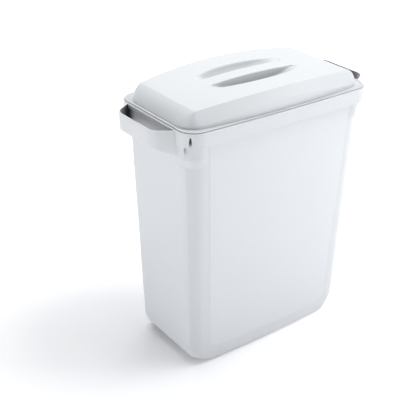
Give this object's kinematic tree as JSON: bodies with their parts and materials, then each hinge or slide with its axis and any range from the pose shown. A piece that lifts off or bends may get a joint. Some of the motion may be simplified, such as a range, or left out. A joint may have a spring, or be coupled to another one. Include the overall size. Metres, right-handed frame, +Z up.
{
  "type": "waste bin",
  "caption": "Slim rectangular waste bin: tapered tub with a bow handle at each short end and a loose domed lid lifted by a ridge between finger pockets.",
  "frame": {"origin": "middle of the base, on the floor", "axes": "+Z up, X along the long sides towards the handles, Y through the depth"},
  "size_m": [0.5896, 0.282, 0.6478],
  "materials": {
    "tub": "fine matte texture on the wall panels, satin on the corners and rim",
    "lid": "satin"
  },
  "bodies": {
    "tub_body": {"tub": "tub"},
    "lid_body": {"lid": "lid"}
  },
  "joints": [
    {"name": "lid_lift", "type": "slide", "parent": "tub_body", "child": "lid_body", "axis": [0, 0, 1], "range_m": [0, 0.3]}
  ]
}
